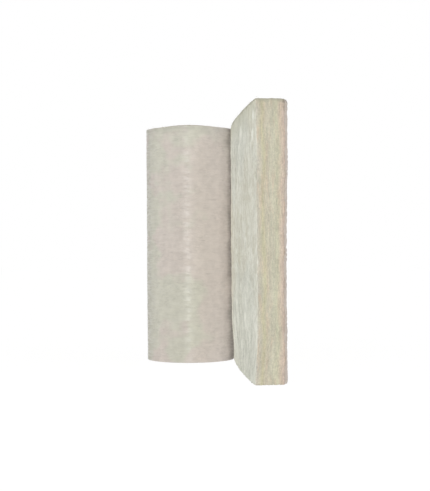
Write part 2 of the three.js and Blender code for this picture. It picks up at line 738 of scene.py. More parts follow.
class Group(Wiring):
    """A node group with named sockets."""

    def __init__(
        self, name: str, kind: str, inputs: dict[str, Kind], outputs: dict[str, Kind]
    ) -> None:
        """Starts an empty group.

        Args:
            name: the group's name.
            kind: the tree's type.
            inputs: what each input carries, by its name.
            outputs: what each output carries, by its name.
        """
        super().__init__(bpy.data.node_groups.new(name, kind))
        for way, sockets in (("INPUT", inputs), ("OUTPUT", outputs)):
            for socket, carried in sockets.items():
                self.tree.interface.new_socket(socket, in_out=way, socket_type=carried.value)
        start = self.node("NodeGroupInput")
        self.given = {key: Flow(self, start.outputs[key]) for key in inputs}

    def closed(self, **results: Flow) -> NodeTree:
        """The group's tree, with its outputs fed."""
        self.node("NodeGroupOutput", results)
        return self.tree


def relief_group(name: str) -> Group:
    """An empty group of geometry nodes that takes a piece and gives it back."""
    piece = {"Geometry": Kind.GEOMETRY}
    return Group(name, "GeometryNodeTree", piece, piece)


class Surface(Wiring):
    """A material that starts with no nodes."""

    def __init__(self, name: str) -> None:
        """Starts an empty material.

        Args:
            name: the material's name.
        """
        self.made = bpy.data.materials.new(name)
        self.made.use_nodes = True
        self.made.node_tree.nodes.clear()
        super().__init__(self.made.node_tree)

    def closed(self, shader: str, inputs: dict) -> Material:
        """The material, with its surface shader.

        Args:
            shader: the shader node's type.
            inputs: what each of the shader's inputs takes.

        Returns:
            The finished material.
        """
        self.node("ShaderNodeOutputMaterial", {"Surface": self.flow(shader, 0, inputs)})
        return self.made


# The screen's usual curve: a straight toe up to its end, and a power above it.
SCREEN_TOP = 255
TOE_END = 0.04045
TOE_SLOPE = 12.92
CURVE_LIFT = 0.055
CURVE_POWER = 2.4


def light_of(level: float) -> float:
    """The light that one screen level stands for.

    Args:
        level: the level, from 0 to 255.

    Returns:
        The light, from 0 to 1.
    """
    share = level / SCREEN_TOP
    if share <= TOE_END:
        return share / TOE_SLOPE
    return ((share + CURVE_LIFT) / (1 + CURVE_LIFT)) ** CURVE_POWER


def screen(red: float, green: float, blue: float) -> Colour:
    """A colour given by its screen levels, as a socket takes it."""
    return light_of(red), light_of(green), light_of(blue), 1.0


# ---------------------------------------------------------------- marks on the bare side


@dataclass(frozen=True)
class Mark:
    """One pulled tuft or one slit on the bare side, longer than it is wide."""

    run_back: float
    height: float
    half_width: float
    half_length: float
    lean: float = 0.0
    strength: float = 1.0
    ragged_scale: float = 55.0
    ragged_height: float = 0.5
    soft_edge: Pair = (0.35, 1.1)

    def share(self, place: Flow, cut_end: float) -> Flow:
        """How far each place lies in the mark, with a ragged edge.

        Args:
            place: the place on the flat blanket.
            cut_end: run of the cut end, from which the mark is measured back.

        Returns:
            The mark's strength in its middle, and zero outside.
        """
        run, _, height = place.parts()
        along = height - self.height
        across = run - (cut_end - self.run_back) - along * self.lean
        ragged = place.noise(self.ragged_scale).swing(self.ragged_height)
        squares = abs(across / self.half_width) ** 2.0 + abs(along / self.half_length) ** 2.0
        far = place.wiring.math("SQRT", squares) + ragged
        return far.ranged(*self.soft_edge, self.strength, 0.0)


TUFTS = (
    Mark(0.048, 1.130, 0.030, 0.030, lean=0.35),
    Mark(0.085, 1.058, 0.026, 0.040, lean=0.45, strength=0.9),
    Mark(0.125, 1.030, 0.020, 0.030, lean=0.45, strength=0.6),
    Mark(0.490, 1.100, 0.045, 0.045, lean=0.60, strength=0.7),
    Mark(0.535, 1.040, 0.045, 0.040, lean=0.60, strength=0.8),
    Mark(0.620, 0.920, 0.060, 0.030, strength=0.5),
    Mark(0.690, 0.300, 0.050, 0.080, lean=-0.30, strength=0.6),
    Mark(0.800, 0.170, 0.060, 0.100, lean=-0.30, strength=0.6),
    Mark(0.350, 0.250, 0.030, 0.050, lean=-0.30, strength=0.5),
    Mark(0.960, 0.100, 0.060, 0.060, strength=0.6),
)
SLITS = (
    Mark(0.445, 0.105, 0.026, 0.045, lean=-0.20),
    Mark(0.750, 0.170, 0.040, 0.050, lean=-0.40, strength=0.9),
    Mark(0.700, 0.590, 0.022, 0.070, strength=0.7),
    Mark(0.570, 0.640, 0.024, 0.075, strength=0.6),
    Mark(0.480, 0.560, 0.022, 0.045, strength=0.6),
    Mark(0.330, 0.600, 0.018, 0.050, strength=0.5),
    Mark(0.250, 0.420, 0.020, 0.040, strength=0.5),
    Mark(0.020, 0.900, 0.016, 0.075),
)


def strongest(marks: tuple[Mark, ...], place: Flow, cut_end: float) -> Flow:
    """The strongest of several marks at each place.

    Args:
        marks: the marks.
        place: the place on the flat blanket.
        cut_end: run of the cut end.

    Returns:
        The greatest of their shares.
    """
    found = marks[0].share(place, cut_end)
    for mark in marks[1:]:
        found = found.or_more(mark.share(place, cut_end))
    return found


# ---------------------------------------------------------------- relief


@dataclass(frozen=True)
class Waves:
    """Noise that rises and falls, stretched along the blanket's three directions."""

    size: Triple
    height: float
    detail: float = 2.0
    roughness: float = 0.5

    def rise(self, place: Flow) -> Flow:
        """How far each place rises or falls."""
        return place.stretched(self.size).noise(1.0, self.detail, self.roughness).swing(self.height)


@dataclass(frozen=True)
class FacingRelief:
    """The relief of the facing: fine wrinkles round the roll, soft dents and a few creases."""

    lift: float = 0.0010
    wrinkles: Waves = Waves((0.06, 1.0, 0.0075), 0.0007)
    dashes: Waves = Waves((0.024, 1.0, 0.0062), 0.00055)
    ripples: Waves = Waves((0.10, 1.0, 0.035), 0.0008)
    dents: Waves = Waves((0.17, 0.17, 0.17), 0.0020)
    crease_depth: float = 0.0007
    crease_size: Triple = (0.20, 1.0, 0.07)
    crease_width: float = 0.06
    crease_patch_scale: float = 4.0
    crease_patches: Pair = (0.52, 0.62)
    nip_fade: float = 0.09
    pucker_height: float = 0.0036
    pucker_pitch: float = 0.035
    pucker_reach: float = 0.09
    pucker_margin: float = 0.01
    pucker_wander: float = 2.4
    pucker_wander_scale: float = 9.0
    pucker_roundness: float = 0.7
    pucker_patch_scale: float = 8.0
    pucker_patches: Ease = (0.38, 0.62, 0.30, 1.0)

    def rise_group(self, blanket: Blanket) -> NodeTree:
        """How far the facing rises off the wool at each place, as a group of geometry nodes.

        Args:
            blanket: gives where the facing comes out between the turns, and the cut end.

        Returns:
            The group.
        """
        group = Group("facing_rise", "GeometryNodeTree", {}, {"Rise": Kind.NUMBER})
        place = group.flow("GeometryNodeInputPosition", 0)
        sheet = group.vector("MULTIPLY", place, (1.0, 0.0, 1.0))
        nip = blanket.run_at(0.0)
        shown = place.parts()[0].ranged(nip, nip + self.nip_fade)
        rise = self.creases(sheet) + self.lift
        for waves in (self.wrinkles, self.dashes, self.ripples, self.dents):
            rise = rise + waves.rise(sheet)
        rise = rise * shown + self.puckers(sheet, blanket.cut_end)
        return group.closed(Rise=rise.or_more(0.0))

    def puckers(self, sheet: Flow, cut_end: float) -> Flow:
        """Soft bulges between pinches, one above another along the cut end.

        Args:
            sheet: the place on the flat sheet.
            cut_end: run of the cut end.

        Returns:
            How far they rise.
        """
        run, _, height = sheet.parts()
        near = run.ranged(cut_end - self.pucker_reach, cut_end - self.pucker_margin)
        wander = sheet.noise(self.pucker_wander_scale).swing(self.pucker_wander)
        phase = height / self.pucker_pitch + wander
        bulge = abs(sheet.wiring.math("SINE", phase * math.pi)) ** self.pucker_roundness
        patchy = sheet.noise(self.pucker_patch_scale).ranged(*self.pucker_patches)
        return bulge * near * (patchy * self.pucker_height)

    def creases(self, sheet: Flow) -> Flow:
        """Sharp shallow valleys where the noise crosses its middle, in a few patches only.

        Args:
            sheet: the place on the flat sheet.

        Returns:
            How far they fall.
        """
        crossing = abs(sheet.stretched(self.crease_size).noise().swing(1.0))
        valley = crossing.ranged(0.0, self.crease_width, -self.crease_depth, 0.0)
        return valley * sheet.noise(self.crease_patch_scale).ranged(*self.crease_patches)

    def group(self, rise_group: NodeTree) -> NodeTree:
        """The relief itself, as a group of geometry nodes that moves the sheet outwards.

        Args:
            rise_group: gives how far the facing rises.

        Returns:
            The group.
        """
        group = relief_group("facing_relief")
        rise = group.flow("GeometryNodeGroup", "Rise", node_tree=rise_group)
        inputs = group.given | {"Offset": group.scaled((0.0, 1.0, 0.0), rise)}
        return group.closed(Geometry=group.flow("GeometryNodeSetPosition", 0, inputs))


@dataclass(frozen=True)
class WoolRelief:
    """The relief of the wool's skin: streaks on its bare side, layers on everything cut."""

    streaks: Waves = Waves((0.045, 0.05, 0.13), 0.0100, RICH, ROUGH)
    strands: Waves = Waves((0.016, 0.03, 0.030), 0.0032, RICH, ROUGH)
    layers: Waves = Waves((0.075, 0.010, 0.075), 0.0035, RICH, ROUGH)
    tufts: Waves = Waves((0.022, 0.006, 0.022), 0.0018, RICH, ROUGH)
    swell_height: float = 0.004
    swell_size: float = 0.16
    wound_share: float = 0.45
    loosening: float = 0.9
    nip_fade: float = 0.12
    edge_follow: Pair = (0.02, 0.06)
    top_calm: Ease = (0.03, 0.11, 0.35, 1.0)
    tuft_lift: float = 0.004
    slit_depth: float = 0.007

    def group(self, blanket: Blanket, rise_group: NodeTree) -> NodeTree:
        """The relief as a group of geometry nodes.

        Args:
            blanket: gives the run at which the bare side comes free, and the width.
            rise_group: gives how far the facing rises, which the wool's edges follow.

        Returns:
            The group.
        """
        nip = blanket.wound_length
        group = relief_group("wool_relief")
        place = group.flow("GeometryNodeInputPosition", 0)
        normal = group.flow("GeometryNodeInputNormal", 0)
        run, _, height = place.parts()
        _, faced, _ = normal.parts()
        soft = place.noise(1 / self.swell_size).swing(self.swell_height)
        skin = self.streaks.rise(place) + self.strands.rise(place) + soft
        skin = skin * (blanket.width - height).ranged(*self.top_calm)
        tufts_out = strongest(TUFTS, place, blanket.cut_end)
        slits_in = strongest(SLITS, place, blanket.cut_end)
        skin = slits_in.times_plus(-self.slit_depth, tufts_out.times_plus(self.tuft_lift, skin))
        bare = group.math("MULTIPLY", faced, -1.0, clamp=True)
        sides = skin * bare * run.ranged(nip, nip + self.nip_fade)
        ends = (self.layers.rise(place) + self.tufts.rise(place)) * (1.0 - abs(faced))
        ends = ends * run.ranged(nip - self.loosening, nip, self.wound_share, 1.0)
        near_edge = inwards(height, blanket).ranged(*self.edge_follow, 1.0, 0.0)
        faced_edge = group.math("MULTIPLY", faced, near_edge, clamp=True)
        rise = group.flow("GeometryNodeGroup", "Rise", node_tree=rise_group)
        total = ends + sides + faced_edge * rise
        inputs = group.given | {"Offset": group.scaled(normal, total)}
        return group.closed(Geometry=group.flow("GeometryNodeSetPosition", 0, inputs))


def inwards(height: Flow, blanket: Blanket) -> Flow:
    """How far in from the nearer long edge each height lies."""
    return blanket.width / 2 - abs(height - blanket.width / 2)


# ---------------------------------------------------------------- finishes


class Laid(Surface):
    """A material on a piece of the blanket, with each place's run, depth and height."""

    def __init__(self, name: str, blanket: Blanket) -> None:
        """Starts an empty material.

        Args:
            name: the material's name.
            blanket: the blanket that it covers.
        """
        super().__init__(name)
        self.blanket = blanket
        self.place = self.attribute("laid", "Vector")
        self.run, self.depth, self.height = self.place.parts()
        self.below_top = blanket.width - self.height


LINE_WIDTH = 0.05
STRAND_STRETCHES = ((4.2, 4.2, 0.9), (1.0, 4.2, 4.6), (2.4, 4.2, 2.2))
STREAK_RANGE = (0.3, 0.7)
FINE_DETAIL = 4.0
FINE_ROUGHNESS = 0.65
BROAD_SCALE = 0.28


def streak_group() -> NodeTree:
    """Fibres: fine streaks, the broad tufts that they lie in, and single strands.

    Returns:
        The shader node group.
    """
    inputs = {"Place": Kind.VECTOR, "Size": Kind.VECTOR}
    outputs = {"Fine": Kind.NUMBER, "Broad": Kind.NUMBER, "Strands": Kind.NUMBER}
    group = Group("fibre_streaks", "ShaderNodeTree", inputs, outputs)
    place = group.given["Place"].stretched(group.given["Size"])
    strands = [lines(group.vector("MULTIPLY", place, stretch)) for stretch in STRAND_STRETCHES]
    return group.closed(
        Fine=place.noise(1.0, FINE_DETAIL, FINE_ROUGHNESS).ranged(*STREAK_RANGE),
        Broad=place.noise(BROAD_SCALE).ranged(*STREAK_RANGE),
        Strands=strands[0].or_more(strands[1]).or_more(strands[2]),
    )


def lines(place: Flow) -> Flow:
    """Thin wandering lines: one on a line, and zero away from it."""
    return abs(place.noise(detail=PLAIN) - NOISE_MIDDLE).ranged(0.0, LINE_WIDTH, 1.0, 0.0)


SOIL_REACH = (0.030, 0.034, 0.026)
SOIL_EDGE = (0.2, 1.0, 1.0, 0.0)
SOIL_SHADE = 0.62
SPECK_SCALE = 170.0
SPECK_SHARE = (0.42, 0.60, 0.25, 1.0)


def soil_group() -> NodeTree:
    """Soil and specks at one place that has been handled, such as a corner.

    Returns:
        The shader node group.
    """
    inputs = {"Place": Kind.VECTOR, "Centre": Kind.VECTOR, "Reach": Kind.VECTOR}
    group = Group("handling_soil", "ShaderNodeTree", inputs, {"Shade": Kind.NUMBER})
    place = group.given["Place"]
    apart = group.vector("SUBTRACT", place, group.given["Centre"])
    run, depth, height = apart.stretched(group.given["Reach"]).parts()
    far = height.times_plus(height, depth.times_plus(depth, run * run))
    specks = place.noise(SPECK_SCALE, detail=PLAIN).ranged(*SPECK_SHARE)
    return group.closed(Shade=(far.ranged(*SOIL_EDGE) * specks).faded(SOIL_SHADE))


def soil(laid: Laid) -> Flow:
    """How pale each place is beside the soiled top corner of the cut end.

    Args:
        laid: the material's tree, with its places.

    Returns:
        One, and less where it is soiled.
    """
    group = bpy.data.node_groups.get("handling_soil") or soil_group()
    corner = (laid.blanket.cut_end, laid.blanket.free_wool, laid.blanket.width)
    inputs = {"Place": laid.place, "Centre": corner, "Reach": SOIL_REACH}
    return laid.flow("ShaderNodeGroup", "Shade", inputs, node_tree=group)


def streaks(laid: Laid, size: Triple) -> tuple[Flow, ...]:
    """The shared fibre streaks in one material, at their own size.

    Args:
        laid: the material's tree, with its places.
        size: the streaks' size along the blanket's directions.

    Returns:
        The fine streaks, the broad tufts and the strands, each from 0 to 1.
    """
    group = bpy.data.node_groups.get("fibre_streaks") or streak_group()
    made = laid.node("ShaderNodeGroup", {"Place": laid.place, "Size": size}, node_tree=group)
    return tuple(Flow(laid, output) for output in made.outputs)


@dataclass(frozen=True)
class WoolFinish:
    """Bare and cut mineral wool, with its layers coloured from the bare side to the facing."""

    roughness: float = 0.95
    sheen: float = 0.04
    specular: float = 0.2
    bump: Pair = (0.6, 0.002)
    bare_dark: Colour = screen(193, 194, 181)
    bare_straw: Colour = screen(197, 193, 174)
    straw_scale: float = 1.8
    straw_offset: Triple = (1.1, 3.4, 3.0)
    straw_range: Pair = (0.44, 0.56)
    bare_light: Colour = screen(240, 240, 229)
    bare_size: Triple = (0.036, 0.02, 0.052)
    cut_size: Triple = (0.02, 0.0046, 0.028)
    cut_shade: Ease = (0.1, 0.9, 0.77, 1.05)
    upper_shade: Ease = (0.0, 0.14, 0.94, 1.0)
    grit_size: float = 0.007
    grit_shade: Ease = (0.32, 0.68, 0.93, 1.07)
    wobble: float = 0.12
    wobble_scale: float = 9.0
    tint_size: Triple = (0.05, 0.013, 0.07)
    tan: Colour = screen(204, 189, 168)
    green: Colour = screen(194, 198, 172)
    tan_share: Ease = (0.50, 0.70, 0.0, 0.62)
    green_share: Ease = (0.45, 0.28, 0.0, 0.25)
    bare_from: Pair = (0.60, 0.95)
    bare_rag: float = 0.12
    tuft_light: float = 0.55
    # Painted shade: the slits are darkened in colour, on top of their grooves in the relief.
    painted_slit_shade: float = 0.72
    top_tint: Colour = screen(203, 202, 177)
    top_share: Ease = (0.0, 0.13, 0.45, 0.0)
    # Painted light: the bare side is paler near the nip, beside the roll.
    painted_nip_light: Ease = (0.10, 0.65, 1.08, 1.0)
    border: Colour = screen(170, 168, 150)
    border_reach: float = 0.019
    border_wander: Ease = (0.3, 0.7, 0.5, 1.4)
    border_wander_scale: float = 12.0
    border_strength: Pair = (0.95, 0.90)
    border_upright: Ease = (0.70, 0.95, 1.0, 0.0)
    border_foot: Ease = (0.2, 0.4, 1.0, 0.0)
    fine_share: float = 0.55
    broad_share: float = 0.30
    strand_share: float = 0.28
    # Painted shade: the bore's wall darkens away from both of its ends.
    painted_bore_shade: float = 0.22
    bore_fade: float = 0.06
    bore_span: Pair = (0.9, 0.6)
    # Colours through the thickness. The last stop, beside the facing, is darker with painted shade
    # of the rounded edge there.
    bands: tuple[tuple[float, Colour], ...] = (
        (0.00, screen(199, 194, 182)),
        (0.12, screen(198, 192, 174)),
        (0.21, screen(197, 192, 163)),
        (0.32, screen(200, 193, 174)),
        (0.52, screen(201, 197, 178)),
        (0.70, screen(199, 196, 173)),
        (0.84, screen(209, 193, 176)),
        (0.92, screen(208, 191, 178)),
        (1.00, screen(194, 184, 173)),
    )

    def material(self, blanket: Blanket) -> Material:
        """The finish as a material.

        Args:
            blanket: the blanket that it covers.

        Returns:
            The material.
        """
        laid = Laid("mineral_wool", blanket)
        bare_mix = self.mixed(laid, self.bare_size)
        cut_mix = self.mixed(laid, self.cut_size)
        faced = laid.attribute("bare") + cut_mix.swing(self.bare_rag)
        side = faced.ranged(*self.bare_from)
        colour = side.blended(self.cut_colour(laid, cut_mix), self.bare_colour(laid, bare_mix))
        colour = self.border_share(laid, side).blended(colour, self.border)
        # Painted shade in the bore, times the soiled corner.
        shade = self.painted_bore_shade_at(laid, side) * soil(laid)
        grain = laid.flow("ShaderNodeMix", 0, {0: side, 2: cut_mix, 3: bare_mix})
        inputs = {
            "Base Color": laid.scaled(colour, shade),
            "Roughness": self.roughness,
            "Sheen Weight": self.sheen,
            "Specular IOR Level": self.specular,
            "Normal": laid.bump(grain, *self.bump),
        }
        return laid.closed("ShaderNodeBsdfPrincipled", inputs)

    def cut_colour(self, laid: Laid, mix: Flow) -> Flow:
        """The colour of what is cut: its layers, with tan and greenish patches.

        Args:
            laid: the material's tree, with its places.
            mix: the streaks, from dark to light.

        Returns:
            The colour.
        """
        wobble = laid.place.noise(self.wobble_scale).swing(self.wobble)
        layers = self.layer_colours(laid.depth / laid.blanket.free_wool + wobble)
        patch = laid.place.stretched(self.tint_size).noise()
        layers = patch.ranged(*self.tan_share).blended(layers, self.tan)
        layers = patch.ranged(*self.green_share).blended(layers, self.green)
        grit = laid.place.noise(1 / self.grit_size, roughness=ROUGH).ranged(*self.grit_shade)
        shade = mix.ranged(*self.cut_shade) * grit * laid.below_top.ranged(*self.upper_shade)
        return laid.scaled(layers, shade)

    def bare_colour(self, laid: Laid, mix: Flow) -> Flow:
        """The bare side's colour, with its pulled tufts and slits and its yellower top.

        Args:
            laid: the material's tree, with its places.
            mix: the streaks, from dark to light.

        Returns:
            The colour.
        """
        blanket = laid.blanket
        tufts = strongest(TUFTS, laid.place, blanket.cut_end)
        patches = laid.place.shifted(self.straw_offset).noise(self.straw_scale)
        dark = patches.ranged(*self.straw_range).blended(self.bare_dark, self.bare_straw)
        colour = tufts.times_plus(self.tuft_light, mix).blended(dark, self.bare_light)
        top = laid.below_top.ranged(*self.top_share) * (1.0 - tufts)
        colour = top.blended(colour, self.top_tint)
        # Painted shade in the slits.
        slits = strongest(SLITS, laid.place, blanket.cut_end).faded(self.painted_slit_shade)
        # Painted light near the nip.
        near_nip = (laid.run - blanket.wound_length).ranged(*self.painted_nip_light)
        return laid.scaled(colour, slits * near_nip)

    def mixed(self, laid: Laid, size: Triple) -> Flow:
        """Streaks, tufts and strands of one size, as one field from 0 to about 1.

        Args:
            laid: the material's tree, with its places.
            size: the streaks' size along the blanket's directions.

        Returns:
            The field.
        """
        fine, broad, strands = streaks(laid, size)
        made = fine.times_plus(self.fine_share, broad * self.broad_share)
        return strands.times_plus(self.strand_share, made)

    def painted_bore_shade_at(self, laid: Laid, side: Flow) -> Flow:
        """How pale each place is: the wall of the bore darkens away from both of its ends.

        Args:
            laid: the material's tree, with its places.
            side: one on the bare side, zero on what is cut.

        Returns:
            One, and less where painted shade darkens the bore.
        """
        deep = inwards(laid.height, laid.blanket).ranged(0.0, self.bore_fade)
        start, end = (laid.blanket.wound_length - back for back in self.bore_span)
        return (deep * laid.run.ranged(start, end, 1.0, 0.0) * side).faded(self.painted_bore_shade)

    def border_share(self, laid: Laid, side: Flow) -> Flow:
        """How far each place lies in the darker border along the upper long edge of the upright
        faces.

        Args:
            laid: the material's tree, with its places.
            side: one on the bare side, zero on what is cut.

        Returns:
            The border's share of the colour.
        """
        wander = laid.place.noise(self.border_wander_scale, detail=RICH)
        reach = wander.ranged(*self.border_wander) * self.border_reach
        share = (inwards(laid.height, laid.blanket) / reach).faded(0.0)
        upright = laid.attribute("level").ranged(*self.border_upright)
        upright = upright * (1.0 - laid.height.ranged(*self.border_foot))
        return share * side.ranged(0.0, 1.0, *self.border_strength) * upright

    def layer_colours(self, share: Flow) -> Flow:
        """The bands of colour through the wool's thickness.

        Args:
            share: share of the way from the bare side to the facing.

        Returns:
            The colour.
        """
        ramp = share.wiring.node("ShaderNodeValToRGB", {0: share})
        stops = ramp.color_ramp.elements
        stops[0].position, stops[0].color = self.bands[0]
        stops[1].position, stops[1].color = self.bands[-1]
        for position, colour in self.bands[1:-1]:
            stops.new(position).color = colour
        return Flow(share.wiring, ramp.outputs["Color"])


@dataclass(frozen=True)
class FacingFinish:
    """The satin fleece facing, warm grey with paler and greener patches."""

    roughness: Pair = (0.46, 0.62)
    coat: Ease = (0.45, 0.55, 0.04, 0.84)
    coat_roughness: float = 0.295
    dash_size: Triple = (0.060, 1.0, 0.0085)
    sheen_size: Triple = (0.30, 1.0, 0.12)
    sheen_share: Ease = (0.30, 0.55, 0.82, 1.0)
    specular: float = 0.12
    bump: Pair = (0.35, 0.0006)
    patch_scale: float = 3.2
    patch_offset: Triple = (0.5, 7.8, 4.5)
    patch_range: Pair = (0.495, 0.56)
    warm: Colour = screen(204, 195, 187)
    cool: Colour = screen(200, 198, 185)
    # Painted shade: a darker, browner band where the sheet turns round the corner of the cut end.
    margin: Colour = screen(183, 173, 164)
    margin_width: float = 0.009
    grain_shade: Pair = (0.97, 1.03)
    grain_size: Triple = (0.012, 1.0, 0.0035)
    grain_shares: Pair = (0.6, 0.4)
    mottle_shade: Ease = (0.3, 0.7, 0.95, 1.045)
    mottle_size: float = 0.035
    scuff_shade: Ease = (0.60, 0.75, 1.0, 0.92)
    scuff_size: Triple = (0.05, 1.0, 0.012)
    # Painted shade: the facing darkens towards the crevice at the nip, with a wandering edge.
    painted_tuck_shade: Ease = (0.060, 0.128, 0.67, 1.0)
    tuck_wander: Waves = Waves((0.20, 1.0, 0.10), 0.075)
    rim_shade: Ease = (0.0, 0.055, 0.89, 1.0)
    # Painted light and shade: broad upright stripes, lighter and darker in turn along the facing.
    stripe_scale: float = 9.0
    stripe_start: float = 69.13
    stripe_swing: float = 0.180
    stripe_level: float = 0.994
    # Painted tint: a pinker tone near the crevice that offsets the yellow light the bare wool
    # throws there.
    painted_nip_tint: Colour = screen(203, 195, 192)
    nip_share: Ease = (0.12, 0.30, 0.85, 0.0)
    # Painted shade: dark lines of fine creases in patches, which the relief does not follow.
    crease_size: Triple = (0.045, 1.0, 0.020)
    painted_crease_shade: float = 0.935
    crease_patch_scale: float = 7.0
    crease_patches: Pair = (0.42, 0.60)

    def painted_stripe_shade_at(self, laid: Laid) -> Flow:
        """How pale each place is in broad upright stripes of painted light and shade.

        Args:
            laid: the material's tree, with its places.

        Returns:
            A factor of about one.
        """
        start = (self.stripe_start, 0.0, 0.0)
        along = laid.vector("MULTIPLY_ADD", laid.place, (1.0, 0.0, 0.0), start)
        return along.noise(self.stripe_scale).swing(self.stripe_swing) + self.stripe_level

    def painted_crease_shade_at(self, laid: Laid) -> Flow:
        """How pale each place is along painted shade lines of fine creases, which lie in patches.
        """
        patch = laid.place.noise(self.crease_patch_scale).ranged(*self.crease_patches)
        return (lines(laid.place.stretched(self.crease_size)) * patch).faded(self.painted_crease_shade)

    def colour(self, laid: Laid) -> Flow:
        """The sheet's colour before it is shaded.

        Args:
            laid: the material's tree, with its places.

        Returns:
            The colour.
        """
        cut_end = laid.blanket.cut_end
        patches = laid.place.shifted(self.patch_offset).noise(self.patch_scale, detail=RICH)
        colour = patches.ranged(*self.patch_range).blended(self.warm, self.cool)
        # Painted tint near the crevice.
        near_nip = (laid.run - laid.blanket.run_at(0.0)).ranged(*self.nip_share)
        colour = near_nip.blended(colour, self.painted_nip_tint)
        # Painted shade on the turned edge at the cut end.
        return laid.run.ranged(cut_end - self.margin_width, cut_end).blended(colour, self.margin)

    def material(self, blanket: Blanket) -> Material:
        """The finish as a material.

        Args:
            blanket: the blanket that it covers.

        Returns:
            The material.
        """
        laid = Laid("fleece_facing", blanket)
        fine, broad, _ = streaks(laid, self.grain_size)
        fine_share, broad_share = self.grain_shares
        grain = fine.times_plus(fine_share, broad * broad_share)
        mottle = laid.place.noise(1 / self.mottle_size, detail=RICH, roughness=ROUGH)
        # How far past the crevice each place lies, for the painted shade there.
        tucked = laid.run - blanket.run_at(0.0) + self.tuck_wander.rise(laid.place)
        shade = grain.ranged(0.0, 1.0, *self.grain_shade)
        for factor in (
            mottle.ranged(*self.mottle_shade),
            laid.place.stretched(self.scuff_size).noise().ranged(*self.scuff_shade),
            # Painted shade beside the crevice.
            tucked.ranged(*self.painted_tuck_shade),
            laid.below_top.ranged(*self.rim_shade),
            # Painted shade along crease lines.
            self.painted_crease_shade_at(laid),
            # Painted light and shade in upright stripes.
            self.painted_stripe_shade_at(laid),
            soil(laid),
        ):
            shade = shade * factor
        dashes = laid.place.stretched(self.dash_size).noise().ranged(*self.coat)
        glossy = laid.place.stretched(self.sheen_size).noise().ranged(*self.sheen_share)
        inputs = {
            "Base Color": laid.scaled(self.colour(laid), shade),
            "Roughness": broad.ranged(0.0, 1.0, *self.roughness),
            "Specular IOR Level": self.specular,
            "Coat Weight": dashes * glossy,
            "Coat Roughness": self.coat_roughness,
            "Normal": laid.bump(grain, *self.bump),
        }
        return laid.closed("ShaderNodeBsdfPrincipled", inputs)


# ---------------------------------------------------------------- pieces of the roll


@dataclass
class BlanketPiece:
    """A part of the blanket whose pieces are made flat and then wound."""

    blanket: Blanket
    material: Material
    relief: NodeTree | None = None
    slot: str = ""
    node: str = ""
    smooth_angle: float = 50.0

    def wind_up(self, piece: Piece) -> None:
        """Carries the flat piece onto the roll and its free length."""
        axis = np.array(self.blanket.axis_place())
        put(piece, self.blanket.wind(places(piece)) + axis)

    def dress(self, piece: Piece) -> Piece:
        """Smooths the piece, gives it its finish and ties it to the frame.

        Args:
            piece: the wound piece.

        Returns:
            The same piece.
        """
        take_up(piece)
        bpy.ops.object.shade_smooth_by_angle(angle=math.radians(self.smooth_angle))
        piece.data.materials.clear()
        piece.data.materials.append(self.material)
        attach(piece, "root")
        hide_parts(self.node)
        LOG.info("%s: %d faces", piece.name, len(piece.data.polygons))
        return piece


